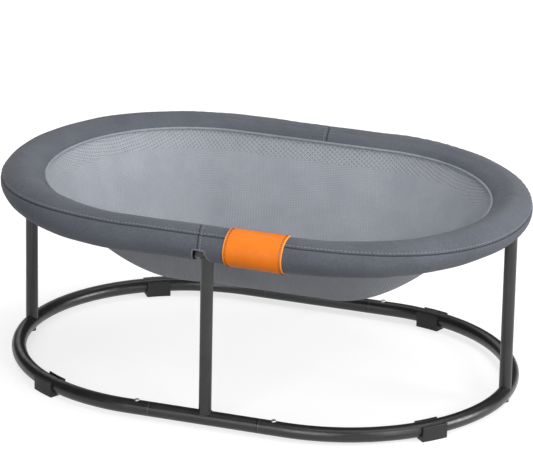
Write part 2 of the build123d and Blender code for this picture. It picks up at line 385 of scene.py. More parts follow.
@dataclass(frozen=True)
class MouldedPlastic(Finish):
    """Fine spark-eroded texture on black plastic."""

    def build(self) -> bpy.types.Material:
        """Return the foot plastic."""
        material, sheet, place, shader = self._open()
        patches = sheet.group("mottle", Vector=place, Size=0.012).outputs["Value"]
        sheet.feed(shader.inputs["Base Color"], self._tone(sheet, patches))
        texture = sheet.group("grain", Vector=place, Size=0.0006).outputs["Height"]
        sheet.feed(shader.inputs["Normal"], sheet.bump(texture, 0.00006))
        sheet.feed(shader.inputs["Roughness"], sheet.ramp(patches, 0.0, 1.0, 0.5, 0.64))
        shader.inputs["Specular IOR Level"].default_value = 0.35
        return material


@dataclass(frozen=True)
class TurnedSteel(Finish):
    """Bare or plated steel with fine turning marks."""

    roughness: float = 0.32

    def build(self) -> bpy.types.Material:
        """Return the steel."""
        material, sheet, place, shader = self._open()
        patches = sheet.group("mottle", Vector=place, Size=0.004).outputs["Value"]
        sheet.feed(shader.inputs["Base Color"], self._tone(sheet, patches))
        marks = sheet.group("grain", Vector=place, Size=0.0004).outputs["Height"]
        sheet.feed(shader.inputs["Normal"], sheet.bump(marks, 0.00002))
        low, high = self.roughness - 0.06, self.roughness + 0.1
        sheet.feed(shader.inputs["Roughness"], sheet.ramp(patches, 0.0, 1.0, low, high))
        shader.inputs["Metallic"].default_value = 0.9
        return material


@dataclass(frozen=True)
class WovenCloth(Finish):
    """Tight plain-weave polyester with uneven yarn, soft creases, and painted shade darkening its sewn seam
    grooves.
    """

    pitch: float = 0.0007
    relief: float = 0.00016
    sheen: float = 0.08
    creases: float = 0.0006
    # Colour of the painted shade laid into the sewn seam grooves.
    groove: Colour = (0.012, 0.013, 0.015)

    def build(self) -> bpy.types.Material:
        """Return the cloth."""
        material, sheet, place, shader = self._open()
        body = sheet.node("ShaderNodeTexCoord").outputs["Object"]
        weave = sheet.group("plain weave", Vector=place, Pitch=self.pitch, Uneven=0.5)
        patches = sheet.group("mottle", Vector=body, Size=0.06).outputs["Value"]
        fleck = sheet.group("mottle", Vector=place, Size=0.0032).outputs["Value"]
        tone = sheet.math("ADD", sheet.math("MULTIPLY", patches, 0.35), sheet.math("MULTIPLY", fleck, 0.45))
        tone = sheet.math("ADD", tone, sheet.math("MULTIPLY", weave.outputs["Height"], 0.2), clamp=True)
        body_colour = self._tone(sheet, tone)
        # Painted shade: inside the seam grooves the cloth darkens towards the groove colour.
        depth = sheet.node("ShaderNodeAttribute", attribute_name="seam_painted_shade").outputs["Fac"]
        sheet.feed(shader.inputs["Base Color"], sheet.blend(depth, body_colour, (*self.groove, 1)))
        slack = sheet.group("mottle", Vector=body, Size=0.022).outputs["Value"]
        folds = sheet.bump(slack, self.creases)
        sheet.feed(shader.inputs["Normal"], sheet.bump(weave.outputs["Height"], self.relief, folds))
        sheet.feed(shader.inputs["Roughness"], sheet.ramp(fleck, 0.0, 1.0, 0.74, 0.9))
        shader.inputs["Sheen Weight"].default_value = self.sheen
        shader.inputs["Sheen Roughness"].default_value = 0.45
        shader.inputs["Specular IOR Level"].default_value = 0.3
        return material


@dataclass(frozen=True)
class OpenMesh(Finish):
    """Coated-yarn mesh: thick threads, with painted shade in the small gaps between them, darker near the rim
    where it is doubled.
    """

    pitch: float = 0.0021
    # Colour of the painted shade in the weave's openings, which are painted, not cut through.
    gap: Colour = (0.09, 0.095, 0.10)
    open_share: float = 0.4

    def build(self) -> bpy.types.Material:
        """Return the mesh."""
        material, sheet, place, shader = self._open()
        turned = sheet.node("ShaderNodeMapping")
        turned.inputs["Rotation"].default_value = (0, 0, math.radians(32))
        sheet.feed(turned.inputs["Vector"], place)
        where = turned.outputs[0]
        weave = sheet.group("plain weave", Vector=where, Pitch=self.pitch, Uneven=0.35)
        rim = sheet.node("ShaderNodeAttribute", attribute_name="rim_distance").outputs["Fac"]
        doubled = sheet.ramp(rim, 0.0205, 0.0225, 1.0, 0.0)
        patches = sheet.group("mottle", Vector=place, Size=0.05).outputs["Value"]
        yarn = self._tone(sheet, patches)
        under = sheet.node("ShaderNodeMapping")
        under.inputs["Rotation"].default_value = (0, 0, math.radians(-9))
        sheet.feed(under.inputs["Vector"], place)
        second = sheet.group("plain weave", Vector=under.outputs[0], Pitch=self.pitch * 1.35, Uneven=0.5)
        ribs = sheet.math("MULTIPLY", sheet.ramp(second.outputs["Height"], 0.35, 0.95), doubled)
        # The band near the rim is darkened a third of the way towards the gap colour.
        layered = sheet.blend(sheet.math("MULTIPLY", doubled, 0.34), yarn, (*self.gap, 1))
        shaded = sheet.blend(sheet.math("MULTIPLY", ribs, 0.75), layered, (0.33, 0.345, 0.38, 1))
        # Painted shade in the openings, stronger in the doubled band near the rim.
        depth = sheet.math("ADD", 0.42, sheet.math("MULTIPLY", doubled, 0.2))
        holes = sheet.math("MULTIPLY", weave.outputs["Holes"], depth)
        sheet.feed(shader.inputs["Base Color"], sheet.blend(holes, shaded, (*self.gap, 1)))
        sheet.feed(shader.inputs["Normal"], sheet.bump(weave.outputs["Height"], 0.0005))
        sheet.feed(shader.inputs["Roughness"], sheet.ramp(patches, 0.0, 1.0, 0.5, 0.62))
        shader.inputs["Specular IOR Level"].default_value = 0.12
        shadow = sheet.node("ShaderNodeLightPath").outputs["Is Shadow Ray"]
        let_through = sheet.math("MULTIPLY", shadow, self.open_share)
        sheet.feed(shader.inputs["Alpha"], sheet.math("SUBTRACT", 1.0, let_through))
        return material


@dataclass(frozen=True)
class Leatherette(Finish):
    """Smooth coated cloth with pebble grain, and a paler edge along both sides: partly the raw cut edge, partly a
    painted highlight on the band's rounded edge.
    """

    # Colour of the paler edge: partly the raw cut edge, partly a painted highlight.
    edge: Colour = (0.95, 0.42, 0.10)

    def build(self) -> bpy.types.Material:
        """Return the leatherette."""
        material, sheet, place, shader = self._open()
        rim = sheet.node("ShaderNodeAttribute", attribute_name="edge_distance").outputs["Fac"]
        # Paler edge strip: partly the raw cut edge, partly a painted highlight on the rounded edge.
        cut = sheet.ramp(rim, 0.0005, 0.0014, 0.6, 0.0)
        patches = sheet.group("mottle", Vector=place, Size=0.02).outputs["Value"]
        body = self._tone(sheet, patches)
        sheet.feed(shader.inputs["Base Color"], sheet.blend(cut, body, (*self.edge, 1)))
        grain = sheet.group("grain", Vector=place, Size=0.0011).outputs["Height"]
        sheet.feed(shader.inputs["Normal"], sheet.bump(grain, 0.0001))
        sheet.feed(shader.inputs["Roughness"], sheet.ramp(patches, 0.0, 1.0, 0.5, 0.62))
        shader.inputs["Specular IOR Level"].default_value = 0.22
        return material


@dataclass(frozen=True)
class Thread(Finish):
    """Twisted sewing thread."""

    def build(self) -> bpy.types.Material:
        """Return the thread."""
        material, sheet, place, shader = self._open()
        ply = sheet.group("mottle", Vector=place, Size=0.0007).outputs["Value"]
        sheet.feed(shader.inputs["Base Color"], self._tone(sheet, ply))
        sheet.feed(shader.inputs["Normal"], sheet.bump(ply, 0.00008))
        sheet.feed(shader.inputs["Roughness"], sheet.ramp(ply, 0.0, 1.0, 0.6, 0.8))
        return material


@dataclass(frozen=True)
class OpenFoam(Finish):
    """Open-cell foam with visible pores."""

    def build(self) -> bpy.types.Material:
        """Return the foam."""
        material, sheet, place, shader = self._open()
        pores = sheet.group("grain", Vector=place, Size=0.0012).outputs["Height"]
        patches = sheet.group("mottle", Vector=place, Size=0.03).outputs["Value"]
        tone = sheet.math("MULTIPLY", pores, patches)
        sheet.feed(shader.inputs["Base Color"], self._tone(sheet, tone))
        sheet.feed(shader.inputs["Normal"], sheet.bump(pores, 0.0004))
        sheet.feed(shader.inputs["Roughness"], sheet.ramp(patches, 0.0, 1.0, 0.88, 0.97))
        return material


@dataclass(frozen=True)
class StudioFloor(Finish):
    """Pale matt floor with the faintest unevenness, lit from below like a light table."""

    bounce: Colour = (0.12, 0.117, 0.112)
    glow: float = 0.66

    def build(self) -> bpy.types.Material:
        """Return the floor: what is seen is mostly glow, and what lights the bed is a dull grey."""
        material, sheet, place, shader = self._open()
        lighting = sheet.node("ShaderNodeLightPath").outputs["Is Diffuse Ray"]
        seen = sheet.math("SUBTRACT", 1.0, lighting)
        patches = sheet.group("mottle", Vector=place, Size=0.8).outputs["Value"]
        tone = self._tone(sheet, patches)
        sheet.feed(shader.inputs["Base Color"], sheet.blend(seen, (*self.bounce, 1), tone))
        sheet.feed(shader.inputs["Roughness"], sheet.ramp(patches, 0.0, 1.0, 0.75, 0.85))
        shader.inputs["Specular IOR Level"].default_value = 0.0
        shader.inputs["Emission Color"].default_value = (1, 1, 1, 1)
        far = sheet.node("ShaderNodeVectorMath", operation="LENGTH")
        sheet.feed(far.inputs[0], place)
        glow = sheet.ramp(far.outputs["Value"], 0.55, 2.2, self.glow, 1.0)
        sheet.feed(shader.inputs["Emission Strength"], sheet.math("MULTIPLY", seen, glow))
        return material


@dataclass(frozen=True)
class Palette:
    """Every finish of the bed."""

    paint: PowderCoat = PowderCoat("satin_black_paint", (0.008, 0.008, 0.0084), (0.014, 0.014, 0.0145))
    plastic: MouldedPlastic = MouldedPlastic("foot_plastic", (0.009, 0.009, 0.010), (0.015, 0.015, 0.0165))
    button: TurnedSteel = TurnedSteel("button_steel", (0.35, 0.35, 0.36), (0.55, 0.55, 0.56))
    spring: TurnedSteel = TurnedSteel("spring_steel", (0.45, 0.46, 0.48), (0.6, 0.61, 0.63), roughness=0.25)
    bolt: TurnedSteel = TurnedSteel("bolt_steel", (0.04, 0.04, 0.042), (0.08, 0.08, 0.083), roughness=0.4)
    insert: TurnedSteel = TurnedSteel("insert_steel", (0.5, 0.5, 0.52), (0.66, 0.66, 0.68))
    sleeve: WovenCloth = WovenCloth(
        "sleeve_cloth", (0.047, 0.053, 0.066), (0.096, 0.103, 0.122), Coordinates.UV
    )
    binding: WovenCloth = WovenCloth(
        "binding_tape", (0.12, 0.13, 0.155), (0.19, 0.20, 0.23), Coordinates.OBJECT, pitch=0.0006, creases=0.0001
    )
    piping: WovenCloth = WovenCloth(
        "piping_cloth", (0.14, 0.15, 0.18), (0.24, 0.255, 0.29), Coordinates.OBJECT, pitch=0.0008, creases=0.0001
    )
    mesh: OpenMesh = OpenMesh("hammock_mesh", (0.240, 0.254, 0.286), (0.280, 0.294, 0.327), Coordinates.UV)
    band: Leatherette = Leatherette("band_leatherette", (0.63, 0.148, 0.006), (0.71, 0.172, 0.008), Coordinates.UV)
    sleeve_thread: Thread = Thread("sleeve_thread", (0.11, 0.12, 0.14), (0.27, 0.285, 0.32))
    band_thread: Thread = Thread("band_thread", (0.13, 0.022, 0.002), (0.24, 0.045, 0.004))
    foam: OpenFoam = OpenFoam("padding_foam", (0.30, 0.30, 0.29), (0.5, 0.5, 0.49))
    floor: StudioFloor = StudioFloor("studio_floor", (0.42, 0.42, 0.418), (0.44, 0.44, 0.438))


# ---------------------------------------------------------------------------
# Surfaces
# ---------------------------------------------------------------------------


def grid_faces(rows: int, columns: int, wrap_rows: bool, wrap_columns: bool) -> Array:
    """Quads of a grid whose vertex number is row times columns plus column.

    Args:
        rows: vertices down the grid.
        columns: vertices across it.
        wrap_rows: whether the last row joins the first.
        wrap_columns: whether the last column joins the first.

    Returns:
        One row of four vertex numbers for each quad, in grid order.
    """
    row = np.arange(rows if wrap_rows else rows - 1)[:, None]
    column = np.arange(columns if wrap_columns else columns - 1)[None, :]
    below, beside = (row + 1) % rows, (column + 1) % columns
    here, under = row * columns, below * columns
    corners = (here + column, here + beside, under + beside, under + column)
    return np.stack([np.broadcast_to(c, (row.size, column.size)) for c in corners], -1).reshape(-1, 4)


def make_piece(
    name: str,
    points: Array,
    faces: Array | list,
    material: bpy.types.Material,
    uv: Array | None = None,
    marks: dict[str, Array] | None = None,
) -> bpy.types.Object:
    """Put a worked-out surface into a mesh object.

    Args:
        name: the piece's name.
        points: vertex positions in metres.
        faces: vertex numbers of each face.
        material: its finish.
        uv: one flat position for each vertex.
        marks: named numbers, one for each vertex.

    Returns:
        The object, at the origin, with smooth faces.
    """
    mesh = bpy.data.meshes.new(name)
    mesh.from_pydata(np.asarray(points, float).reshape(-1, 3).tolist(), [], [list(map(int, f)) for f in faces])
    if uv is not None:
        corner = np.zeros(len(mesh.loops), np.int32)
        mesh.loops.foreach_get("vertex_index", corner)
        layer = mesh.uv_layers.new(name="cloth_map")
        layer.data.foreach_set("uv", np.asarray(uv, np.float32).reshape(-1, 2)[corner].ravel())
    for label, values in (marks or {}).items():
        attribute = mesh.attributes.new(label, "FLOAT", "POINT")
        attribute.data.foreach_set("value", np.asarray(values, np.float32).ravel())
    mesh.polygons.foreach_set("use_smooth", np.ones(len(mesh.polygons), bool))
    mesh.materials.append(material)
    mesh.validate()
    mesh.update()
    piece = bpy.data.objects.new(name, mesh)
    bpy.context.scene.collection.objects.link(piece)
    return piece


def bell(off: Array, width: float) -> Array:
    """Bell curve of a distance: e to the power of minus the square of its share of the width."""
    return np.exp(-((off / width) ** 2))


def merge_doubles(piece: bpy.types.Object, distance: float) -> None:
    """Join vertices that lie in the same place.

    Args:
        piece: the mesh object.
        distance: how far apart two vertices may be and still be joined, in metres.
    """
    work = bmesh.new()
    work.from_mesh(piece.data)
    bmesh.ops.remove_doubles(work, verts=work.verts, dist=distance)
    work.to_mesh(piece.data)
    work.free()


def add_wall(piece: bpy.types.Object, thickness: float, offset: float = -1.0) -> None:
    """Give a sheet its thickness with a Solidify modifier, by default inwards from its face."""
    wall = piece.modifiers.new("wall", "SOLIDIFY")
    wall.thickness = thickness
    wall.offset = offset
    wall.use_even_offset = False


@dataclass(frozen=True)
class RingPath:
    """A stadium: two straights joined by two half circles, measured round from the front middle towards +X."""

    half_straight: float
    bend_radius: float

    @property
    def length(self) -> float:
        """Length all the way round."""
        return 4 * self.half_straight + 2 * math.pi * self.bend_radius

    def from_leg(self, along: Array) -> Array:
        """Signed distance along the ring to the nearest leg; the four stand a quarter of the way apart."""
        quarter = self.length / 4
        return np.mod(along + quarter / 2, quarter) - quarter / 2

    def at(self, along: Array) -> tuple[Array, Array]:
        """Find points on the path.

        The first half is a straight, a half circle and a straight; the second half is the first turned by
        half a turn. On a straight the angle is held at its end value and the run moves the point instead.

        Args:
            along: distances round the path.

        Returns:
            The flat positions, and the outward directions, both with a last axis of two.
        """
        along = np.mod(along, self.length)
        half = self.length / 2
        turned = np.where(along >= half, -1.0, 1.0)
        run = np.where(along >= half, along - half, along)
        bend = math.pi * self.bend_radius
        angle = np.clip((run - self.half_straight) / self.bend_radius, 0, math.pi) - math.pi / 2
        run_in = np.minimum(run, self.half_straight)
        run_out = np.maximum(run - self.half_straight - bend, 0)
        x = run_in - run_out + self.bend_radius * np.cos(angle)
        y = self.bend_radius * np.sin(angle)
        outward = np.stack([np.cos(angle), np.sin(angle)], -1) * turned[..., None]
        return np.stack([x, y], -1) * turned[..., None], outward


@dataclass(frozen=True)
class SleeveForm:
    """The padded sleeve's outside: an oval section carried round the top ring."""

    path: RingPath
    middle_z: float
    half_width: float
    half_height: float
    inset: float
    seam_low: float = math.radians(8)
    seam_high: float = math.radians(50)
    inner_edge: float = math.radians(165)

    def seam_angle(self, along: Array) -> Array:
        """Where the long seam lies on the section: high on the straights, low round the ends.

        The low angle plus the difference times how far the outward direction faces front or back, to the
        power 2.6.
        """
        _, outward = self.path.at(along)
        return self.seam_low + (self.seam_high - self.seam_low) * np.abs(outward[..., 1]) ** 2.6

    def cross_seam(self, angle: Array) -> Array:
        """Where the cross seam lies along the ring, just left of the front leg."""
        return (-9.2 + 4.0 * np.cos(angle)) * MM

    def from_cross(self, along: Array, angle: Array) -> Array:
        """Signed distance along the ring to the nearest cross seam; the two lie half the ring apart."""
        half = self.path.length / 2
        return np.mod(along - self.cross_seam(angle) + half / 2, half) - half / 2

    def place(self, along: Array, angle: Array, lift: Array | float = 0.0) -> Array:
        """Find points on the sleeve.

        The ring's point, moved outward by the oval's cosine part and up by its sine part, and then by the
        lift along the oval's own normal.

        Args:
            along: distances round the ring.
            angle: angles on the section, 0 outward and a quarter turn up.
            lift: how far the points stand off the plain oval.

        Returns:
            Positions, with a last axis of three.
        """
        along, angle = np.broadcast_arrays(along, angle)
        centre, outward = self.path.at(along)
        slope = np.stack([np.cos(angle) / self.half_width, np.sin(angle) / self.half_height], -1)
        slope /= np.linalg.norm(slope, axis=-1, keepdims=True)
        reach = -self.inset + self.half_width * np.cos(angle) + slope[..., 0] * lift
        height = self.middle_z + self.half_height * np.sin(angle) + slope[..., 1] * lift
        return np.concatenate([centre + outward * reach[..., None], height[..., None]], -1)

    def arc(self, angle: Array) -> Array:
        """Distance round the section from its outermost point, from a table of the oval's arc length."""
        table = np.radians(np.linspace(-200, 320, 1041))
        speed = np.hypot(self.half_width * np.sin(table), self.half_height * np.cos(table))
        steps = np.concatenate([[0.0], np.cumsum((speed[1:] + speed[:-1]) / 2 * np.diff(table))])
        zero = np.interp(0.0, table, steps)
        return np.interp(angle, table, steps) - zero


# ---------------------------------------------------------------------------
# Padded sleeve
# ---------------------------------------------------------------------------


@dataclass
class PaddingCloth:
    """Presses the sleeve's cloth outwards between its seams and keeps how far each point moved, about 1 mm."""

    form: SleeveForm
    columns: int = 320
    rows: int = 30
    start_in: float = 1.6 * MM
    most: float = 5.0 * MM
    amount: float = 0.9
    pressure: float = 200.0
    stretch_stiffness: float = 3.0
    shear_stiffness: float = 6.0
    bending_stiffness: float = 0.4
    frames: int = 20
    moved: Array = field(default_factory=lambda: np.zeros((4, 4)))

    def relax(self, skip: bool) -> None:
        """Run the cloth, or leave it flat when skipped.

        Args:
            skip: whether the simulation is left out.
        """
        self.moved = np.zeros((self.rows, self.columns))
        if skip:
            return
        along = np.arange(self.columns) * self.form.path.length / self.columns
        angle = np.arange(self.rows) * 2 * math.pi / self.rows - math.pi
        start = self.form.place(along[None, :], angle[:, None], -self.start_in)
        faces = grid_faces(self.rows, self.columns, True, True)
        plain = bpy.data.materials.new("cloth_trial")
        trial = make_piece("cloth_trial", start, faces, plain)
        held = trial.vertex_groups.new(name="held")
        number = np.arange(self.rows * self.columns)[self._held(along, angle).ravel()]
        held.add(number.tolist(), 1.0, "REPLACE")
        cloth = trial.modifiers.new("cloth", "CLOTH")
        how = cloth.settings
        how.quality = 6
        how.mass = 0.25
        how.tension_stiffness = how.compression_stiffness = self.stretch_stiffness
        how.shear_stiffness = self.shear_stiffness
        how.bending_stiffness = self.bending_stiffness
        how.use_pressure = True
        how.uniform_pressure_force = self.pressure
        how.vertex_group_mass = "held"
        how.effector_weights.gravity = 0.0
        cloth.collision_settings.use_collision = False
        scene = bpy.context.scene
        for moment in range(1, self.frames + 1):
            scene.frame_set(moment)
        graph = bpy.context.evaluated_depsgraph_get()
        blown = trial.evaluated_get(graph).to_mesh()
        ended = np.zeros(self.rows * self.columns * 3)
        blown.vertices.foreach_get("co", ended)
        scene.frame_set(1)
        outward = self.form.place(along[None, :], angle[:, None], 1.0) - self.form.place(
            along[None, :], angle[:, None], 0.0
        )
        change = np.sum((ended.reshape(start.shape) - start) * outward, -1)
        change = np.clip(change, -self.most, self.most)
        LOG.info("cloth moved %.2f to %.2f mm", change.min() * 1000, change.max() * 1000)
        self.moved = (change - change.mean()) * self.amount
        bpy.data.objects.remove(trial)
        bpy.data.materials.remove(plain)

    def _held(self, along: Array, angle: Array) -> Array:
        """Mark the points on seams, at the inner edge and round the leg openings, which stay where they are."""
        seam = np.abs(angle[:, None] - self.form.seam_angle(along)[None, :]) < math.radians(6.5)
        inner = np.abs(np.abs(angle) - self.form.inner_edge)[:, None] < math.radians(7)
        cross = np.abs(self.form.from_cross(along[None, :], angle[:, None])) < 3 * MM
        under = (angle > math.radians(-110)) & (angle < math.radians(6))
        opening = (np.abs(self.form.path.from_leg(along)) < 15 * MM)[None, :] & under[:, None]
        return seam | inner | cross | opening

    def sample(self, along: Array, angle: Array) -> Array:
        """Read the movement between grid points with a smooth cubic through the four nearest each way."""
        column = np.mod(along / self.form.path.length, 1.0) * self.columns
        row = np.mod((angle + math.pi) / (2 * math.pi), 1.0) * self.rows
        whole_c, whole_r = np.floor(column).astype(int), np.floor(row).astype(int)
        weights_c, weights_r = self._weights(column - whole_c), self._weights(row - whole_r)
        total = np.zeros(np.broadcast(along, angle).shape)
        for i in range(4):
            for j in range(4):
                value = self.moved[(whole_r + i - 1) % self.rows, (whole_c + j - 1) % self.columns]
                total = total + weights_r[i] * weights_c[j] * value
        return total

    @staticmethod
    def _weights(part: Array) -> tuple[Array, Array, Array, Array]:
        """Weights of a uniform cubic B-spline."""
        return (
            (1 - part) ** 3 / 6,
            (3 * part**3 - 6 * part**2 + 4) / 6,
            (-3 * part**3 + 3 * part**2 + 3 * part + 1) / 6,
            part**3 / 6,
        )


@dataclass(frozen=True)
class LegOpening:
    """Where the sleeve is cut for a leg: along the ring at its top and foot, and on the section."""

    left_top: float
    left_foot: float
    right_top: float
    right_foot: float
    top: float
    foot: float = math.radians(-99.5)

    def left(self, angle: Array) -> Array:
        """Left edge at each section angle, straight from its top to its foot."""
        share = np.clip((self.top - angle) / math.radians(62), 0, 1)
        return self.left_top + (self.left_foot - self.left_top) * share

    def right(self, angle: Array) -> Array:
        """Right edge at each section angle, slanting from its top to its foot."""
        share = np.clip((self.top - angle) / math.radians(68), 0, 1)
        return self.right_top + (self.right_foot - self.right_top) * share

    def loop(self, count: int = 40) -> tuple[Array, Array]:
        """Points all round the edge.

        Args:
            count: points on each of the four sides.

        Returns:
            Distances along the ring from the leg, and section angles.
        """
        share = np.linspace(0, 1, count, endpoint=False)
        down = self.top + (self.foot - self.top) * share
        up = down[::-1]
        left, right = float(self.left(np.array(self.foot))), float(self.right(np.array(self.foot)))
        across = left + (right - left) * share
        back = self.right_top + (self.left_top - self.right_top) * share
        along = np.concatenate([self.left(down), across, self.right(up), back])
        angle = np.concatenate([down, np.full(count, self.foot), up, np.full(count, self.top)])
        return along, angle


@dataclass
class PaddedSleeve:
    """Two sewn covers, their foam, the stitching, and the bound edges of the leg openings."""

    form: SleeveForm
    cloth: PaddingCloth
    tee_opening: LegOpening = LegOpening(
        -10.4 * MM, -13.6 * MM, 2.0 * MM, 9.2 * MM, math.radians(2)
    )
    end_opening: LegOpening = LegOpening(
        -8.6 * MM, -8.6 * MM, 8.6 * MM, 8.6 * MM, math.radians(-50)
    )
    skin: float = 1.1 * MM
    near: float = 60 * MM
    slide: float = 2.1 * MM
    sink: float = 1.1 * MM
    inner_lift: float = 0.8 * MM
    inner_width: float = 0.16
    stitch_off: float = 3.4 * MM
    cross_stitch_off: float = 3.2 * MM
    right_reach: float = 12 * MM
    left_reach: float = 7 * MM
    pitch: float = 1.65 * MM
    end_rows: int = 14
    tee_rows: int = 27

    def slack(self, along: Array, angle: Array) -> Array:
        """Slow unevenness of the padding: three waves of different lengths and fixed phases, added up."""
        turn = 2 * math.pi * along / self.form.path.length
        return MM * (
            0.22 * np.sin(9 * turn + 1.3 + 1.2 * np.sin(angle))
            + 0.16 * np.sin(17 * turn + 4.1 + 2 * angle)
            + 0.10 * np.sin(31 * turn + 0.4 - 3 * angle)
        )

    def settle(self, along: Array, angle: Array) -> Array:
        """How the padding has slid and sunk on its tube.

        The outer half moves a little towards the left end. The upper half sinks, most at the back. The
        front's underside is drawn up a little, and the left end's hangs.
        """
        _, outward = self.form.path.at(np.broadcast_arrays(along, angle)[0])
        face_x, face_y = outward[..., 0], outward[..., 1]
        slide = -self.slide * face_x * np.maximum(np.cos(angle), 0)
        inner = np.clip((math.radians(158) - angle) / math.radians(45), 0, 1)
        upper = np.maximum(np.sin(angle), 0) * inner**2 * (3 - 2 * inner)
        sink = -np.maximum(1.7 - 0.1 * face_x + 1.6 * face_y, 0) * self.sink * upper
        lower = np.maximum(-np.sin(angle), 0) * MM
        tuck = (1.2 * np.maximum(-face_x, 0) - 1.1 * np.maximum(-face_y, 0)) * lower
        return slide + sink + tuck

    def seam_relief(self, along: Array, angle: Array) -> Array:
        """Groove of the long seam, its folded lip, the dip under the stitches and the puckers beside it.

        Each is a bell curve of the distance from the seam; the puckers are that bell times two sines along
        the ring whose lengths do not match.
        """
        off = self.form.arc(angle) - self.form.arc(self.form.seam_angle(along))
        groove = -0.95 * bell(off, 0.75 * MM)
        lip = 0.38 * bell(off - 1.5 * MM, 0.9 * MM)
        dip = -0.22 * bell(off - self.stitch_off, 0.8 * MM)
        fade = bell(off, 6.5 * MM)
        wave = np.sin(along / (1.75 * MM) + 1.7 * np.sin(along / (23 * MM)))
        patch = 0.5 + 0.5 * np.sin(along / (37 * MM) + 0.8) * np.sin(along / (61 * MM))
        return MM * (groove + lip + dip + 0.26 * fade * wave * patch)

    def cross_relief(self, along: Array, angle: Array) -> Array:
        """Groove of the cross seams and the puckers fanning from them."""
        off = self.form.from_cross(along, angle)
        groove = -1.0 * bell(off, 0.8 * MM)
        lip = 0.35 * bell(np.abs(off) - 1.6 * MM, 0.9 * MM)
        dip = -0.2 * bell(off - self.cross_stitch_off, 0.8 * MM)
        fan = 0.3 * bell(off, 11 * MM) * np.sin(17 * angle + 2 * np.sin(3 * angle))
        return MM * (groove + lip + dip + fan)

    def seam_shade(self, along: Array, angle: Array) -> Array:
        """How far each point is inside a sewn groove, used as painted shade in the cloth's colour: a narrow bell
        of its distance from either seam.
        """
        off = self.form.arc(angle) - self.form.arc(self.form.seam_angle(along))
        across = self.form.from_cross(along, angle)
        outer = np.mod(angle + math.pi, 2 * math.pi) - math.pi > -1.7
        long_seam = bell(off, 0.62 * MM)
        return np.maximum(long_seam, 0.85 * bell(across, 0.6 * MM) * outer)

    def lift(self, along: Array, angle: Array) -> Array:
        """Everything that stands off the plain oval, in metres."""
        along, angle = np.broadcast_arrays(along, angle)
        inner = bell(np.mod(angle - self.form.inner_edge + math.pi, 2 * math.pi) - math.pi, self.inner_width)
        return (
            self.cloth.sample(along, angle)
            + self.slack(along, angle)
            + self.settle(along, angle)
            + self.seam_relief(along, angle)
            + self.cross_relief(along, angle)
            + self.inner_lift * inner
        )

    def _angles(self) -> Array:
        """Section angles of the grid's rows, in degrees, with rows on the openings' edges and by the seam."""
        return np.concatenate(
            [
                np.linspace(-99.5, -50, 14, endpoint=False),
                np.linspace(-50, 2, 13, endpoint=False),
                np.linspace(2, 24, 5, endpoint=False),
                [24, 26, 27.4, 28.7, 30, 31.3, 32.6, 34, 35.5, 37.2, 39, 41],
                np.linspace(43, 150, 27, endpoint=False),
                np.linspace(150, 260.5, 27, endpoint=False),
            ]
        )

    def _columns(self) -> tuple[Array, int, int, int, int]:
        """Distances of the grid's columns from the cross seam, and the columns at the openings' edges."""
        quarter, half = self.form.path.length / 4, self.form.path.length / 2
        end = self.end_opening.right_top
        fine = np.array([0, 0.5, 1.0, 1.6, 2.4, 3.4, 4.6]) * MM
        right, left = self.right_reach, self.left_reach
        first = np.concatenate([fine, np.linspace(6 * MM, right, 5, endpoint=False)])
        edges = [right, self.near, quarter - end, quarter + end, half - self.near, half - left]
        parts = [first] + [self._steps(start, stop) for start, stop in zip(edges, edges[1:])] + [half - fine[::-1]]
        count = np.cumsum([len(p) for p in parts])
        last = np.linspace(half - left, half - fine[-1], 3, endpoint=False)
        parts.insert(6, last)
        return np.concatenate(parts), int(count[0]), int(count[2]), int(count[3]), int(count[5])

    def _steps(self, start: float, stop: float) -> Array:
        """Distances from start up to, but not including, stop, as near the pitch as fits evenly."""
        return np.linspace(start, stop, max(2, round((stop - start) / self.pitch)), endpoint=False)

    def _warp(self, column: Array, angle: Array) -> Array:
        """Move the columns so that they end on the cross seams and follow the openings' slanted edges.

        Between fixed columns the distance runs straight, at each section angle.
        """
        half = self.form.path.length / 2
        cross = self.form.cross_seam(angle)
        opening = self.tee_opening
        knots = np.array([0.0, self.right_reach, self.near, half - self.near, half - self.left_reach, half])
        under = np.where(angle > math.pi, angle - 2 * math.pi, angle)
        fade = np.clip((under - opening.top) / math.radians(40), 0, 1)
        closing = np.clip((math.radians(260.5) - angle) / math.radians(60), 0, 1)
        fade = np.where(angle > math.radians(170), closing, fade)
        right = opening.right(np.where(angle > math.pi, opening.foot, angle))
        left = opening.left(np.where(angle > math.pi, opening.foot, angle))
        right = right + (self.right_reach + cross - right) * fade
        left = left + (cross - self.left_reach - left) * fade
        values = np.stack(
            [cross, right, np.full_like(angle, self.near), np.full_like(angle, half - self.near), half + left,
             half + cross],
            -1,
        )
        return np.stack([np.interp(column, knots, ends) for ends in values], 0)

    def _bend_rows(self, base: Array, along: Array) -> Array:
        """Slide the rows so that one of them runs in the long seam: straight between three fixed angles."""
        seam = self.form.seam_angle(along)
        two, mid, far = math.radians(2), math.radians(30), math.radians(150)
        base = np.broadcast_to(base, along.shape)
        lower = two + (seam - two) * (base - two) / (mid - two)
        upper = seam + (far - seam) * (base - mid) / (far - mid)
        return np.where((base > two) & (base <= mid), lower, np.where((base > mid) & (base < far), upper, base))

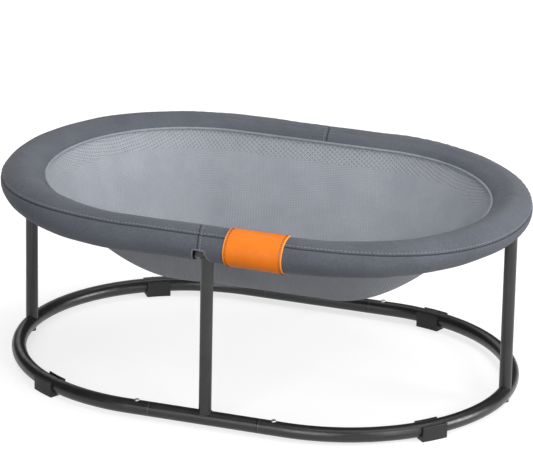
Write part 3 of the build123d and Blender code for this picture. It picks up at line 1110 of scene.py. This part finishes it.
    def build_cover(self, name: str, half_turn: int, material: bpy.types.Material) -> bpy.types.Object:
        """Make one of the two covers.

        Args:
            name: the piece's name.
            half_turn: 0 for the cover on the right, 1 for the one on the left.
            material: its cloth.

        Returns:
            The cover, with its wall as a modifier.
        """
        base = np.radians(self._angles())
        column, front_end, end_start, end_stop, back_start = self._columns()
        along = self._warp(column, base) + half_turn * self.form.path.length / 2
        angle = self._bend_rows(base[:, None], along)
        points = self.form.place(along, angle, self.lift(along, angle))
        rows, columns = angle.shape
        faces = grid_faces(rows, columns, True, False).reshape(rows, columns - 1, 4)
        keep = np.ones((rows, columns - 1), bool)
        keep[: self.tee_rows, :front_end] = False
        keep[: self.tee_rows, back_start:] = False
        keep[: self.end_rows, end_start:end_stop] = False
        flat = np.stack([along, self.form.arc(angle)], -1)
        # Painted shade for the seam grooves, kept on the cover for its cloth to darken.
        depth = self.seam_shade(along, angle)
        used = faces[keep]
        number = np.full(rows * columns, -1)
        kept = np.unique(used)
        number[kept] = np.arange(len(kept))
        cover = make_piece(
            name, points.reshape(-1, 3)[kept], number[used], material, flat.reshape(-1, 2)[kept],
            {"seam_painted_shade": depth.ravel()[kept]},
        )
        add_wall(cover, self.skin)
        return cover

    def build_foam(self, material: bpy.types.Material) -> bpy.types.Object:
        """Make the padding: the same oval, smaller, with its underside raised where the legs come in."""
        columns, rows = 640, 64
        along = np.arange(columns) * self.form.path.length / columns
        angle = np.arange(rows) * 2 * math.pi / rows - math.pi
        by_piping = np.clip((np.abs(angle) - math.radians(115)) / math.radians(30), 0, 1)[:, None]
        sunk = self.settle(along[None, :], angle[:, None]) - (3.0 + 1.2 * by_piping) * MM
        points = self.form.place(along[None, :], angle[:, None], sunk)
        from_leg = self.form.path.from_leg(along)
        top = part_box("top_tube_front")[1].z + 0.6 * MM
        reach = (-self.form.inset + (self.form.half_width - 2.8 * MM) * np.cos(angle))[:, None]
        by_leg = (np.abs(from_leg) < 14.5 * MM)[None, :]
        inside = by_leg & (reach > -9 * MM) & (angle < math.radians(10))[:, None]
        points[..., 2] = np.where(inside & (points[..., 2] < top), top, points[..., 2])
        pores = 0.12 * MM * np.sin(along / (2.9 * MM))[None, :] * np.sin(angle * 11)[:, None]
        points[..., 2] += pores
        return make_piece("foam_padding", points, grid_faces(rows, columns, True, True), material)


def tube_along(points: Array, radius: Array | float, sides: int, closed: bool) -> tuple[Array, Array]:
    """Carry a circle along a path.

    At each point the circle lies in the plane across the path, turned to a fixed up direction, and its
    points are the centre plus the cosine and sine parts of the radius.

    Args:
        points: the path.
        radius: the circle's radius, one for all or one for each point.
        sides: points on the circle.
        closed: whether the path is a loop.

    Returns:
        Vertex positions and quads.
    """
    if closed:
        ahead = np.roll(points, -1, 0) - np.roll(points, 1, 0)
    else:
        ahead = np.gradient(points, axis=0)
    ahead /= np.linalg.norm(ahead, axis=1, keepdims=True)
    up = np.broadcast_to(np.array([0.13, 0.21, 0.97]), ahead.shape)
    side = np.cross(ahead, up)
    side /= np.linalg.norm(side, axis=1, keepdims=True)
    over = np.cross(side, ahead)
    turn = np.arange(sides) * 2 * math.pi / sides
    radius = np.broadcast_to(np.asarray(radius, float), (len(points),))[:, None, None]
    ring = side[:, None, :] * np.cos(turn)[None, :, None] + over[:, None, :] * np.sin(turn)[None, :, None]
    made = points[:, None, :] + ring * radius
    faces = grid_faces(len(points), sides, closed, True)[:, ::-1]
    return made.reshape(-1, 3), faces


def smooth_loop(points: Array, rounds: int) -> Array:
    """Round a closed path's corners by averaging each point with its neighbours, several times."""
    for _ in range(rounds):
        points = (np.roll(points, 1, 0) + 2 * points + np.roll(points, -1, 0)) / 4
    return points


@dataclass(frozen=True)
class Stitching:
    """Rows of single stitches, each a small rounded bead that dips into the cloth at both ends."""

    length: float
    thick: float
    sides: int = 6

    def build(
        self, name: str, centres: Array, ahead: Array, outward: Array, material: bpy.types.Material
    ) -> bpy.types.Object:
        """Make the stitches.

        A stitch is a tube whose radius is the square root of one minus the square of its share along it,
        and whose middle stands highest.

        Args:
            name: the piece's name.
            centres: the middle of each stitch.
            ahead: its direction.
            outward: the cloth's normal there.
            material: the thread.

        Returns:
            One piece with every stitch in it.
        """
        share = np.array([-1.0, -0.7, 0.0, 0.7, 1.0])
        turn = np.arange(self.sides) * 2 * math.pi / self.sides
        fat = self.thick / 2 * np.array([0.25, 0.85, 1.0, 0.85, 0.25])
        side = np.cross(ahead, outward)
        side /= np.linalg.norm(side, axis=1, keepdims=True)
        rise = self.thick * 0.35 * (1 - 1.6 * share**2)
        made = (
            centres[:, None, None, :]
            + ahead[:, None, None, :] * (share * self.length / 2)[None, :, None, None]
            + outward[:, None, None, :] * rise[None, :, None, None]
            + (side[:, None, None, :] * np.cos(turn)[None, None, :, None]
               + outward[:, None, None, :] * np.sin(turn)[None, None, :, None]) * fat[None, :, None, None]
        )
        one = grid_faces(len(share), self.sides, False, True)
        each = len(share) * self.sides
        quads = (one[None] + (np.arange(len(centres)) * each)[:, None, None]).reshape(-1, 4)
        first = np.arange(self.sides)[::-1]
        last = np.arange(self.sides) + each - self.sides
        caps = (np.stack([first, last])[None] + (np.arange(len(centres)) * each)[:, None, None])
        faces = quads.tolist() + caps.reshape(-1, self.sides).tolist()
        return make_piece(name, made, faces, material)


def along_surface(form: SleeveForm, along: Array, angle: Array, lift: Array) -> tuple[Array, Array, Array]:
    """Find where stitches sit on the sleeve.

    Args:
        form: the sleeve.
        along: distances round the ring.
        angle: section angles.
        lift: how far the cloth stands off the plain oval.

    Returns:
        Positions, directions along the row, and outward normals.
    """
    spots = form.place(along, angle, lift)
    ahead = np.gradient(spots, axis=0)
    ahead /= np.linalg.norm(ahead, axis=1, keepdims=True)
    outward = form.place(along, angle, lift + MM) - spots
    outward /= np.linalg.norm(outward, axis=1, keepdims=True)
    return spots, ahead, outward


@dataclass
class SleeveTrim:
    """Stitch rows on the sleeve and the bound edges of its openings."""

    sleeve: PaddedSleeve

    def build_stitches(self, material: bpy.types.Material) -> list[bpy.types.Object]:
        """Make the long seam's stitches and the cross seams' stitches."""
        form = self.sleeve.form
        made = []
        count = int(form.path.length / (4.0 * MM))
        along = np.arange(count) * form.path.length / count
        seam = form.seam_angle(along)
        arc_table = np.radians(np.linspace(-20, 120, 561))
        angle = np.interp(form.arc(seam) + self.sleeve.stitch_off, form.arc(arc_table), arc_table)
        spots = along_surface(form, along, angle, self.sleeve.lift(along, angle))
        made.append(Stitching(2.9 * MM, 0.62 * MM).build("long_seam_stitches", *spots, material))
        half = form.path.length / 2
        for name, start in (("front", 0.0), ("back", half)):
            turn = np.radians(np.arange(6, 165, 9.5))
            along = start + form.cross_seam(turn) + self.sleeve.cross_stitch_off
            spots = along_surface(form, along, turn, self.sleeve.lift(along, turn))
            made.append(Stitching(2.4 * MM, 0.6 * MM).build(f"cross_seam_stitches_{name}", *spots, material))
        return made

    def build_binding(self, material: bpy.types.Material) -> list[bpy.types.Object]:
        """Make the rolled tape round each opening: a small tube along its edge, with rounded corners."""
        form = self.sleeve.form
        made = []
        quarter = form.path.length / 4
        for i, name in enumerate(("front", "right", "back", "left")):
            opening = self.sleeve.tee_opening if i % 2 == 0 else self.sleeve.end_opening
            along, angle = opening.loop()
            along = along + i * quarter
            path = form.place(along, angle, self.sleeve.lift(along, angle) - 0.5 * MM)
            points, faces = tube_along(smooth_loop(path, 3), 0.85 * MM, 8, True)
            made.append(make_piece(f"opening_binding_{name}", points, faces, material))
        return made


# ---------------------------------------------------------------------------
# Hammock
# ---------------------------------------------------------------------------


@dataclass
class MeshHammock:
    """The mesh bowl, sewn under the piping and stretched down by its own cut."""

    path: RingPath
    rim_z: float
    sag: float
    thickness: float = 0.7 * MM
    rings: int = 70
    columns: int = 480
    stretch: float = 1.03
    left_sag: float = 0.04
    half_length: float = 0.246

    def drop(self, share: Array) -> Array:
        """How far the bowl hangs, as a share of its depth: one minus distance to the power 1.67, all to 0.9."""
        return (1 - np.clip(share, 0, 1) ** 1.67) ** 0.9

    def build(self, material: bpy.types.Material) -> bpy.types.Object:
        """Make the bowl.

        From the middle line, each point goes out by its share of the rim's radius and down by the drop. The
        map unrolls each radius to its true length, so that the weave keeps its size on the steep sides.
        """
        share = np.sin(np.linspace(0, math.pi / 2, self.rings)) ** 0.9
        along = np.arange(self.columns) * self.path.length / self.columns
        rim, outward = self.path.at(along)
        spine = rim - outward * self.path.bend_radius
        reach = share[:, None, None] * self.path.bend_radius
        flat = spine[None] + outward[None] * reach
        deeper = 1 + self.left_sag * np.maximum(-flat[..., 0], 0) / self.half_length
        low = self.sag * self.drop(share)[:, None] * deeper
        ripple = 0.35 * MM * np.sin(along / (5.6 * MM) + 1.3 * np.sin(along / (40 * MM)))[None, :]
        ripple = ripple * bell(share[:, None] - 0.93, 0.05)
        height = self.rim_z - low + ripple
        step = np.hypot(np.diff(share) * self.path.bend_radius, self.sag * np.diff(self.drop(share)))
        arc = np.concatenate([[0.0], np.cumsum(step)])
        unrolled = spine[None] + outward[None] * arc[:, None, None]
        points = np.concatenate([flat, height[..., None]], -1)
        faces = grid_faces(self.rings, self.columns, False, True)
        from_rim = np.broadcast_to((arc[-1] - arc)[:, None], height.shape)
        piece = make_piece("mesh_hammock", points, faces, material, unrolled, {"rim_distance": from_rim})
        merge_doubles(piece, 0.02 * MM)
        add_wall(piece, self.thickness, 0.0)
        self._declare(piece)
        return piece

    def _declare(self, piece: bpy.types.Object) -> None:
        """Read the area of each of the bowl's faces; nothing more is done with it."""
        mesh = piece.data
        area = np.zeros(len(mesh.polygons))
        mesh.polygons.foreach_get("area", area)


# ---------------------------------------------------------------------------
# Label band
# ---------------------------------------------------------------------------


@dataclass
class LabelBand:
    """Plain leatherette wrapped over the front of the sleeve and whip-stitched along both sides."""

    sleeve: PaddedSleeve
    start: float
    end: float
    stand_off: float = 0.35 * MM
    thickness: float = 0.9 * MM
    reach: float = math.radians(107)

    def _lift(self, along: Array, angle: Array) -> Array:
        """The cloth's slow shape without its seams, plus the stand-off, falling a little at the sides."""
        sleeve = self.sleeve
        blown = sleeve.cloth.sample(along, angle) * 0.5
        soft = blown + sleeve.slack(along, angle) + sleeve.settle(along, angle)
        from_side = np.minimum(along - self.start, self.end - along)
        tuck = 0.35 * MM * bell(from_side, 1.6 * MM)
        off = sleeve.form.arc(angle) - sleeve.form.arc(sleeve.form.seam_angle(along))
        ridge = 0.25 * MM * bell(off - 1.5 * MM, 2.2 * MM)
        return soft + self.stand_off + self.thickness + 0.35 * MM + ridge - tuck

    def build(self, leather: bpy.types.Material, thread: bpy.types.Material) -> list[bpy.types.Object]:
        """Make the band and its stitches.

        Args:
            leather: the band's finish.
            thread: the stitches' finish.

        Returns:
            The band and the stitches.
        """
        form = self.sleeve.form
        inner = np.linspace(self.start + 1.2 * MM, self.end - 1.2 * MM, 46)
        sides = np.array([0, 0.35, 0.7]) * MM
        along = np.concatenate([self.start + sides, inner, self.end - sides[::-1]])
        angle = np.linspace(-self.reach, self.reach, 110)
        points = form.place(along[None, :], angle[:, None], self._lift(along[None, :], angle[:, None]))
        uv = np.stack(np.broadcast_arrays(along[None, :], form.arc(angle)[:, None]), -1)
        edge = np.broadcast_to(np.minimum(along - self.start, self.end - along)[None, :], points.shape[:2])
        faces = grid_faces(len(angle), len(along), False, False)
        band = make_piece("label_wrap", points, faces, leather, uv, {"edge_distance": edge})
        add_wall(band, self.thickness)
        turn = np.linspace(-math.radians(95), math.radians(98), 32)
        spots, ahead, outward = [], [], []
        for at in (self.start + 2.7 * MM, self.end - 2.7 * MM):
            where = np.full_like(turn, at)
            spot, _, out = along_surface(form, where, turn, self._lift(where, turn))
            spots.append(spot)
            outward.append(out)
            ahead.append(np.broadcast_to(np.array([1.0, 0.0, 0.0]), out.shape))
        stitches = Stitching(2.5 * MM, 0.8 * MM).build(
            "label_stitches", np.concatenate(spots), np.concatenate(ahead), np.concatenate(outward), thread
        )
        return [band, stitches]


# ---------------------------------------------------------------------------
# Steel frame
# ---------------------------------------------------------------------------


@dataclass
class SteelFrame:
    """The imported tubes, fasteners and feet, with their finishes and the weld beads of the upright tees."""

    palette: Palette
    ring_height: dict[str, float]
    tube_radius: float
    leg_radius: float
    bend_radius: float

    def dress(self) -> None:
        """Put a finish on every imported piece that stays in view."""
        finishes = {
            "frame_steel": self.palette.paint.build(),
            "button_steel": self.palette.button.build(),
            "spring_steel": self.palette.spring.build(),
            "bolt_steel": self.palette.bolt.build(),
            "insert_steel": self.palette.insert.build(),
            "foot_plastic": self.palette.plastic.build(),
            "piping_fabric": self.palette.piping.build(),
        }
        for part in frame["record"]["subparts"]:
            node = frame["nodes"][part["node"]]
            finish = finishes.get(part["material_slot"])
            if finish is not None:
                node.data.materials.clear()
                node.data.materials.append(finish)
                LOG.info("dressed %s in %s", part["node"], finish.name)

    def build_springs(self) -> list[bpy.types.Object]:
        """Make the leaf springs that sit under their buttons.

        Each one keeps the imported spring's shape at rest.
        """
        made = []
        for joint in frame["joints"]:
            place = joint["name"].removeprefix("press_")
            node = f"leaf_spring_{place}"
            piece = bpy.data.objects.new(f"spring_clip_{place}", frame["nodes"][node].data.copy())
            bpy.context.scene.collection.objects.link(piece)
            merge_doubles(piece, 0.001 * MM)
            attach(piece, "bed")
            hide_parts(node)
            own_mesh(piece)
            made.append(piece)
        return made

    def build_welds(self, material: bpy.types.Material) -> list[bpy.types.Object]:
        """Make the weld beads.

        A bead follows the line where the upright leg meets the level tube: round the leg by an angle, at the
        height of the tube's circle for that depth. Its radius rises and falls like laid-down ripples.
        """
        made = []
        turn = np.arange(96) * 2 * math.pi / 96
        for row_name, row in (("front", -1), ("back", 1)):
            for level, side in (("base", 1), ("top", -1)):
                depth = self.leg_radius * np.sin(turn)
                rise = np.sqrt(self.tube_radius**2 - depth**2)
                path = np.stack(
                    [
                        self.leg_radius * np.cos(turn),
                        row * self.bend_radius + depth,
                        self.ring_height[level] + side * rise,
                    ],
                    -1,
                )
                radius = (0.95 + 0.16 * np.sin(turn * 24)) * MM
                points, faces = tube_along(path, radius, 8, True)
                made.append(make_piece(f"weld_bead_{level}_{row_name}", points, faces, material))
        return made


# ---------------------------------------------------------------------------
# Studio
# ---------------------------------------------------------------------------


@dataclass(frozen=True)
class Softbox:
    """A square soft light."""

    name: str
    place: tuple[float, float, float]
    size: float
    power: float
    colour: Colour = (1.0, 1.0, 1.0)

    def build(self, target: Vector) -> None:
        """Hang the light and aim it at a point."""
        data = bpy.data.lights.new(self.name, "AREA")
        data.shape = "SQUARE"
        data.size = self.size
        data.energy = self.power
        data.color = self.colour
        lamp = bpy.data.objects.new(self.name, data)
        lamp.location = self.place
        lamp.rotation_euler = (target - Vector(self.place)).to_track_quat("-Z", "Y").to_euler()
        bpy.context.scene.collection.objects.link(lamp)


@dataclass
class Studio:
    """Floor, sky, lights and camera."""

    eye: tuple[float, float, float] = (1.3277, -3.8397, 1.6582)
    heading: float = -0.3329
    pitch: float = 0.3533
    roll: float = 0.0198
    lens: float = 270.8
    lights: tuple[Softbox, ...] = (
        Softbox("overhead_softbox", (0.3, 0.2, 2.4), 2.6, 54.0),
        Softbox("front_softbox", (0.0, -2.8, 1.1), 1.5, 60.0),
        Softbox("right_softbox", (2.6, 0.3, 0.7), 1.0, 62.0),
        Softbox("key_softbox", (2.1, -1.5, 1.7), 1.3, 28.0),
        Softbox("low_softbox", (2.3, -1.7, 0.35), 0.9, 13.0, (1.0, 0.98, 0.95)),
        Softbox("back_softbox", (-1.6, 2.2, 1.6), 1.4, 9.0),
    )
    sky: float = 0.06

    def build(self, floor: StudioFloor) -> None:
        """Set everything up round the bed."""
        self._camera()
        self._sky()
        low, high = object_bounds()
        for light in self.lights:
            light.build((low + high) / 2)
        self._floor(floor)
        view = bpy.context.scene.view_settings
        view.view_transform = "Standard"
        view.look = "None"

    def _camera(self) -> None:
        """Stand the camera at its measured place: heading and pitch give the view line, roll turns it."""
        ahead = Vector(
            (
                math.sin(self.heading) * math.cos(self.pitch),
                math.cos(self.heading) * math.cos(self.pitch),
                -math.sin(self.pitch),
            )
        )
        level = Vector((math.cos(self.heading), -math.sin(self.heading), 0))
        above = level.cross(ahead)
        right = math.cos(self.roll) * level + math.sin(self.roll) * above
        up = -math.sin(self.roll) * level + math.cos(self.roll) * above
        data = bpy.data.cameras.new("studio_camera")
        data.lens = self.lens
        data.sensor_width = 36.0
        data.clip_start, data.clip_end = 0.05, 60.0
        camera = bpy.data.objects.new("studio_camera", data)
        camera.matrix_world = Matrix(
            (
                (right.x, up.x, -ahead.x, self.eye[0]),
                (right.y, up.y, -ahead.y, self.eye[1]),
                (right.z, up.z, -ahead.z, self.eye[2]),
                (0, 0, 0, 1),
            )
        )
        bpy.context.scene.collection.objects.link(camera)
        bpy.context.scene.camera = camera

    def _sky(self) -> None:
        """White to look at, and a softer grey as a light."""
        world = bpy.data.worlds.new("studio_sky")
        world.use_nodes = True
        sheet = NodeSheet(world.node_tree)
        seen = sheet.node("ShaderNodeBackground")
        seen.inputs["Color"].default_value = (1, 1, 1, 1)
        lit = sheet.node("ShaderNodeBackground")
        lit.inputs["Color"].default_value = (0.93, 0.96, 1.0, 1)
        lit.inputs["Strength"].default_value = self.sky
        mix = sheet.node("ShaderNodeMixShader")
        sheet.feed(mix.inputs[0], sheet.node("ShaderNodeLightPath").outputs["Is Camera Ray"])
        sheet.tree.links.new(lit.outputs[0], mix.inputs[1])
        sheet.tree.links.new(seen.outputs[0], mix.inputs[2])
        out = sheet.node("ShaderNodeOutputWorld")
        sheet.tree.links.new(mix.outputs[0], out.inputs["Surface"])
        bpy.context.scene.world = world

    def _floor(self, finish: StudioFloor) -> None:
        """Lay a wide level floor just under the feet."""
        span = np.linspace(-9, 9, 25)
        x, y = np.meshgrid(span, span)
        points = np.stack([x, y, np.zeros_like(x)], -1)
        floor = make_piece("studio_floor", points, grid_faces(25, 25, False, False), finish.build())
        floor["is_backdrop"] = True


# ---------------------------------------------------------------------------
# The bed
# ---------------------------------------------------------------------------


class Bed:
    """Builds and dresses every piece in order."""

    def __init__(self, palette: Palette) -> None:
        """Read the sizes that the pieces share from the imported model."""
        self.palette = palette
        low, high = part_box("top_arc_right")
        self.tube_radius = (high.z - low.z) / 2
        self.bend_radius = (high.y - low.y) / 2 - self.tube_radius
        half_straight = high.x - self.tube_radius - self.bend_radius
        self.ring = RingPath(half_straight, self.bend_radius)
        base_low, base_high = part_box("base_arc_right")
        self.heights = {"base": (base_low.z + base_high.z) / 2, "top": (low.z + high.z) / 2}
        sleeve_low, sleeve_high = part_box("sleeve_right")
        rim_low, rim_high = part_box("hammock")
        outer = sleeve_high.y - self.bend_radius
        inner = self.bend_radius - rim_high.y - 0.3 * MM
        self.rim = RingPath(half_straight, rim_high.y)
        self.rim_z = rim_high.z
        self.sag = rim_high.z - rim_low.z + 5 * MM
        self.form = SleeveForm(
            self.ring,
            (sleeve_low.z + sleeve_high.z) / 2,
            (outer + inner) / 2,
            (sleeve_high.z - sleeve_low.z) / 2,
            (inner - outer) / 2,
        )

    def build(self) -> None:
        """Make the soft pieces, then dress the frame."""
        palette = self.palette
        cloth = PaddingCloth(self.form)
        cloth.relax(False)
        sleeve = PaddedSleeve(self.form, cloth)
        cover_cloth = palette.sleeve.build()
        for name, side, turn in (("sleeve_cover_right", "right", 0), ("sleeve_cover_left", "left", 1)):
            cover = sleeve.build_cover(name, turn, cover_cloth)
            self._add(cover, "sleeve_fabric", f"sleeve_{side}")
        foam = sleeve.build_foam(palette.foam.build())
        self._add(foam, "foam", "foam_left", "foam_right")
        trim = SleeveTrim(sleeve)
        sewn = trim.build_stitches(palette.sleeve_thread.build())
        for piece in sewn + trim.build_binding(palette.binding.build()):
            self._add(piece, "sleeve_fabric")
        hammock = MeshHammock(self.rim, self.rim_z, self.sag).build(palette.mesh.build())
        self._add(hammock, "mesh_fabric", "hammock")
        band_low, band_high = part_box("label_band")
        label = LabelBand(sleeve, band_low.x, band_high.x)
        wrap, stitches = label.build(palette.band.build(), palette.band_thread.build())
        self._add(wrap, "band_leather", "label_band")
        self._add(stitches, "band_leather")
        leg_low, leg_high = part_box("leg_front")
        frame_steel = SteelFrame(
            palette, self.heights, self.tube_radius, (leg_high.x - leg_low.x) / 2, self.bend_radius
        )
        frame_steel.dress()
        LOG.info("built %d spring clips", len(frame_steel.build_springs()))
        for bead in frame_steel.build_welds(bpy.data.materials[palette.paint.name]):
            self._add(bead, "frame_steel")

    def _add(self, piece: bpy.types.Object, slot: str, *nodes: str) -> None:
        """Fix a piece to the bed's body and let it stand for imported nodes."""
        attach(piece, "bed")
        if nodes:
            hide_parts(*nodes)
        LOG.info("built %s with %d faces", piece.name, len(piece.data.polygons))


def main() -> None:
    """Build the effects, the bed and the studio, in that order."""
    logging.basicConfig(level=logging.INFO, format="%(message)s")
    palette = Palette()
    SharedEffects().build()
    Bed(palette).build()
    Studio().build(palette.floor)


if __name__ == "__main__":
    main()
